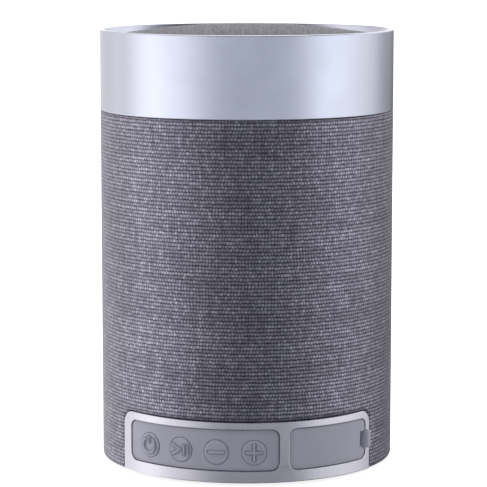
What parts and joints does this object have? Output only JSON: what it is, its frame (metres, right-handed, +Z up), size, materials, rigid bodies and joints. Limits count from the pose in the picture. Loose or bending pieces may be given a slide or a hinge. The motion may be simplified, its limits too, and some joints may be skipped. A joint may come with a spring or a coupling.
{
  "type": "portable bluetooth speaker",
  "caption": "Cylindrical portable speaker with a ribbed fabric sleeve, metal top ring, domed cloth grille, push keys and a rubber port cover.",
  "frame": {"origin": "centre of the footprint, on the surface that the feet stand on", "axes": "+Z up along the body's axis, -Y out of the control panel, +X to the right of a viewer who faces the panel"},
  "size_m": [0.082, 0.082, 0.1224],
  "materials": {
    "satin_aluminium": "satin, fine-grained anodised",
    "sleeve_fabric": "coarse ribbed weave, heathered",
    "top_cloth": "fine weave",
    "grey_rubber": "matt silicone",
    "black_rubber": "matt",
    "black_plastic": "fine moulded texture",
    "bright_steel": "plated",
    "painted_steel": "black paint",
    "ferrite": "matt sintered",
    "copper": "enamelled wire",
    "paper_cone": "coated pulp",
    "yellow_cloth": "resin-stiffened",
    "green_board": "solder mask over glass laminate",
    "cell_wrap": "heat-shrink sleeve",
    "red_lead": "insulation"
  },
  "bodies": {
    "casing": {"amplifier_chip": "black_plastic", "aux_jack": "black_plastic", "base_cover": "black_plastic", "base_screw_1": "bright_steel", "base_screw_2": "bright_steel", "base_screw_3": "bright_steel", "base_screw_4": "bright_steel", "battery_cell": "cell_wrap", "battery_clamp": "black_plastic", "battery_lead": "red_lead", "bluetooth_module": "bright_steel", "body_tube": "black_plastic", "card_slot": "bright_steel", "control_panel": "satin_aluminium", "driver_baffle": "black_plastic", "driver_basket": "painted_steel", "driver_magnet": "ferrite", "driver_spider": "yellow_cloth", "driver_surround": "black_rubber", "driver_top_plate": "bright_steel", "driver_yoke": "bright_steel", "fabric_sleeve": "sleeve_fabric", "foot_1": "black_rubber", "foot_2": "black_rubber", "foot_3": "black_rubber", "foot_4": "black_rubber", "inner_frame": "black_plastic", "key_board": "green_board", "key_holder": "black_plastic", "key_lead": "red_lead", "keypad_mat": "grey_rubber", "main_board": "green_board", "minus_switch": "bright_steel", "play_switch": "bright_steel", "plus_switch": "bright_steel", "port_board": "green_board", "port_lead": "red_lead", "port_tray": "black_plastic", "power_switch": "bright_steel", "radiator_frame": "black_plastic", "radiator_surround": "black_rubber", "speaker_lead": "red_lead", "top_cloth": "top_cloth", "top_grille": "black_plastic", "top_ring": "satin_aluminium", "usb_socket": "bright_steel"},
    "port_door": {"port_cover": "grey_rubber"},
    "driver_cone_assembly": {"driver_cone": "paper_cone", "dust_cap": "paper_cone", "voice_coil": "copper"},
    "radiator": {"radiator_plate": "bright_steel"},
    "power_key": {"power_button": "grey_rubber"},
    "power_switch_stem": {"power_plunger": "black_plastic"},
    "play_key": {"play_button": "grey_rubber"},
    "play_switch_stem": {"play_plunger": "black_plastic"},
    "minus_key": {"minus_button": "grey_rubber"},
    "minus_switch_stem": {"minus_plunger": "black_plastic"},
    "plus_key": {"plus_button": "grey_rubber"},
    "plus_switch_stem": {"plus_plunger": "black_plastic"}
  },
  "joints": [
    {"name": "port_cover_hinge", "type": "hinge", "parent": "casing", "child": "port_door", "pos_m": [0.01169, -0.0393, 0.00995], "axis": [0, 0, -1], "range_deg": [0, 120], "stiffness_Nm_per_rad": 0.002},
    {"name": "power_press", "type": "slide", "parent": "casing", "child": "power_key", "axis": [0.6442, 0.7648, 0], "range_m": [0, 0.0004], "stiffness_N_per_m": 400, "springref_m": -0.001},
    {"name": "power_plunge", "type": "slide", "parent": "casing", "child": "power_switch_stem", "axis": [0.6442, 0.7648, 0], "range_m": [0, 0.0004]},
    {"name": "play_press", "type": "slide", "parent": "casing", "child": "play_key", "axis": [0.4361, 0.8999, 0], "range_m": [0, 0.0004], "stiffness_N_per_m": 400, "springref_m": -0.001},
    {"name": "play_plunge", "type": "slide", "parent": "casing", "child": "play_switch_stem", "axis": [0.4361, 0.8999, 0], "range_m": [0, 0.0004]},
    {"name": "minus_press", "type": "slide", "parent": "casing", "child": "minus_key", "axis": [0.2011, 0.9796, 0], "range_m": [0, 0.0004], "stiffness_N_per_m": 400, "springref_m": -0.001},
    {"name": "minus_plunge", "type": "slide", "parent": "casing", "child": "minus_switch_stem", "axis": [0.2011, 0.9796, 0], "range_m": [0, 0.0004]},
    {"name": "plus_press", "type": "slide", "parent": "casing", "child": "plus_key", "axis": [-0.0463, 0.9989, 0], "range_m": [0, 0.0004], "stiffness_N_per_m": 400, "springref_m": -0.001},
    {"name": "plus_plunge", "type": "slide", "parent": "casing", "child": "plus_switch_stem", "axis": [-0.0463, 0.9989, 0], "range_m": [0, 0.0004]},
    {"name": "cone_travel", "type": "slide", "parent": "casing", "child": "driver_cone_assembly", "axis": [0, 0, 1], "range_m": [-0.0015, 0.0015], "stiffness_N_per_m": 2000, "deforming": ["driver_surround", "driver_spider"]},
    {"name": "radiator_travel", "type": "slide", "parent": "casing", "child": "radiator", "axis": [0, 0, 1], "range_m": [-0.0012, 0.0012], "stiffness_N_per_m": 1200, "deforming": ["radiator_surround"]}
  ],
  "couplings": [
    {"joint": "power_plunge", "follows": "power_press", "ratio": 1},
    {"joint": "play_plunge", "follows": "play_press", "ratio": 1},
    {"joint": "minus_plunge", "follows": "minus_press", "ratio": 1},
    {"joint": "plus_plunge", "follows": "plus_press", "ratio": 1}
  ]
}
